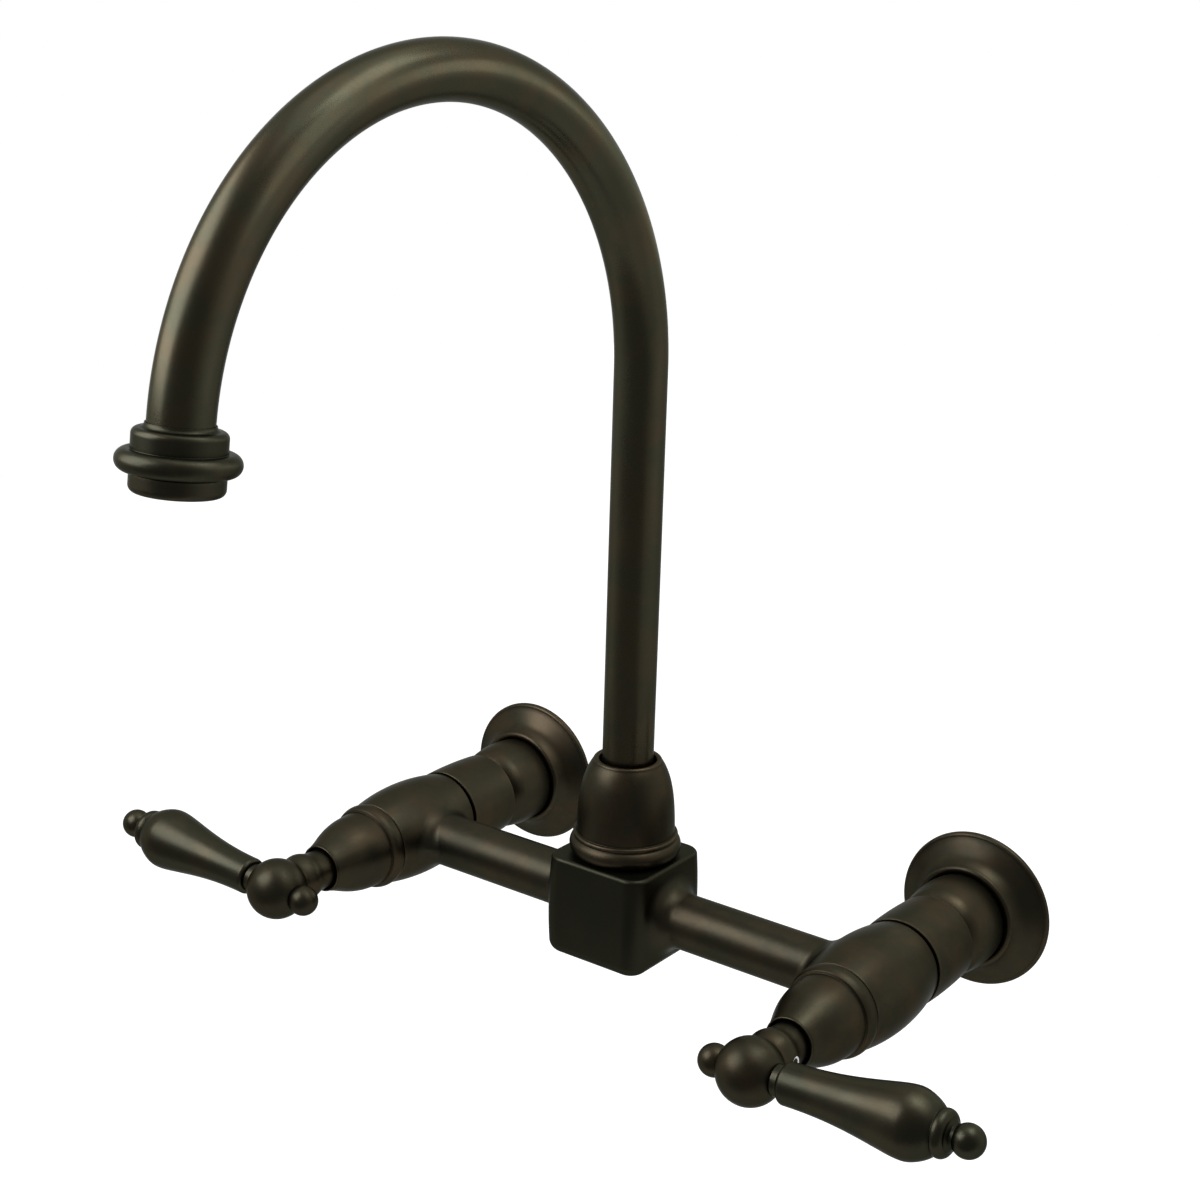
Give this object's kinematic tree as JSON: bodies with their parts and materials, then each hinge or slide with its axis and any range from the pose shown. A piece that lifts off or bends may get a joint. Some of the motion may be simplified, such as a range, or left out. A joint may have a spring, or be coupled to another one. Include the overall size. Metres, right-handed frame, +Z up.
{
  "type": "two handle kitchen faucet",
  "caption": "Wall-mounted bridge faucet with two lever handles, a square centre block and a high swivelling gooseneck spout, in an oil-rubbed bronze finish.",
  "frame": {"origin": "on the wall plane, midway between the two supply inlets, at their height", "axes": "+Y into the wall, along both inlets; +Z up; +X to the right as one faces the faucet, from the left inlet to the right one"},
  "size_m": [0.3624, 0.2947, 0.3324],
  "materials": {
    "bronze_finish": "satin oil-rubbed bronze over brass",
    "raw_brass": "machined brass",
    "ceramic": "lapped white ceramic",
    "rubber": "black nitrile rubber",
    "plastic": "white acetal",
    "steel": "bright stainless steel",
    "fibre": "red fibre sealing washer"
  },
  "bodies": {
    "faucet_body": {"bridge_body": "bronze_finish", "spout_nut": "bronze_finish", "spout_glide_ring": "plastic", "left_escutcheon": "bronze_finish", "left_inlet_union": "bronze_finish", "left_union_washer": "fibre", "left_union_nut": "bronze_finish", "left_bonnet": "bronze_finish", "left_cartridge_shell": "raw_brass", "left_seat_seal": "rubber", "left_fixed_disc": "ceramic", "right_escutcheon": "bronze_finish", "right_inlet_union": "bronze_finish", "right_union_washer": "fibre", "right_union_nut": "bronze_finish", "right_bonnet": "bronze_finish", "right_cartridge_shell": "raw_brass", "right_seat_seal": "rubber", "right_fixed_disc": "ceramic"},
    "left_handle": {"left_stem": "raw_brass", "left_moving_disc": "ceramic", "left_stem_o_rings": "rubber", "left_handle_hub": "bronze_finish", "left_set_screw": "steel", "left_finial": "bronze_finish", "left_lever_washer": "bronze_finish", "left_lever": "bronze_finish"},
    "right_handle": {"right_stem": "raw_brass", "right_moving_disc": "ceramic", "right_stem_o_rings": "rubber", "right_handle_hub": "bronze_finish", "right_set_screw": "steel", "right_finial": "bronze_finish", "right_lever_washer": "bronze_finish", "right_lever": "bronze_finish"},
    "spout": {"spout_base": "raw_brass", "spout_o_rings": "rubber", "spout_thrust_washer": "plastic", "spout_tube": "bronze_finish", "nozzle_collar": "bronze_finish", "aerator_skirt": "bronze_finish", "aerator_gasket": "rubber", "aerator_core": "plastic"}
  },
  "joints": [
    {"name": "left_handle_turn", "type": "hinge", "parent": "faucet_body", "child": "left_handle", "pos_m": [-0.1016, -0.15, 0], "axis": [0, -1, 0], "range_deg": [0, 90]},
    {"name": "right_handle_turn", "type": "hinge", "parent": "faucet_body", "child": "right_handle", "pos_m": [0.1016, -0.15, 0], "axis": [0, 1, 0], "range_deg": [0, 90]},
    {"name": "spout_swivel", "type": "hinge", "parent": "faucet_body", "child": "spout", "pos_m": [0, -0.0775, 0], "axis": [0, 0, 1], "range_deg": [-103, 106]}
  ]
}
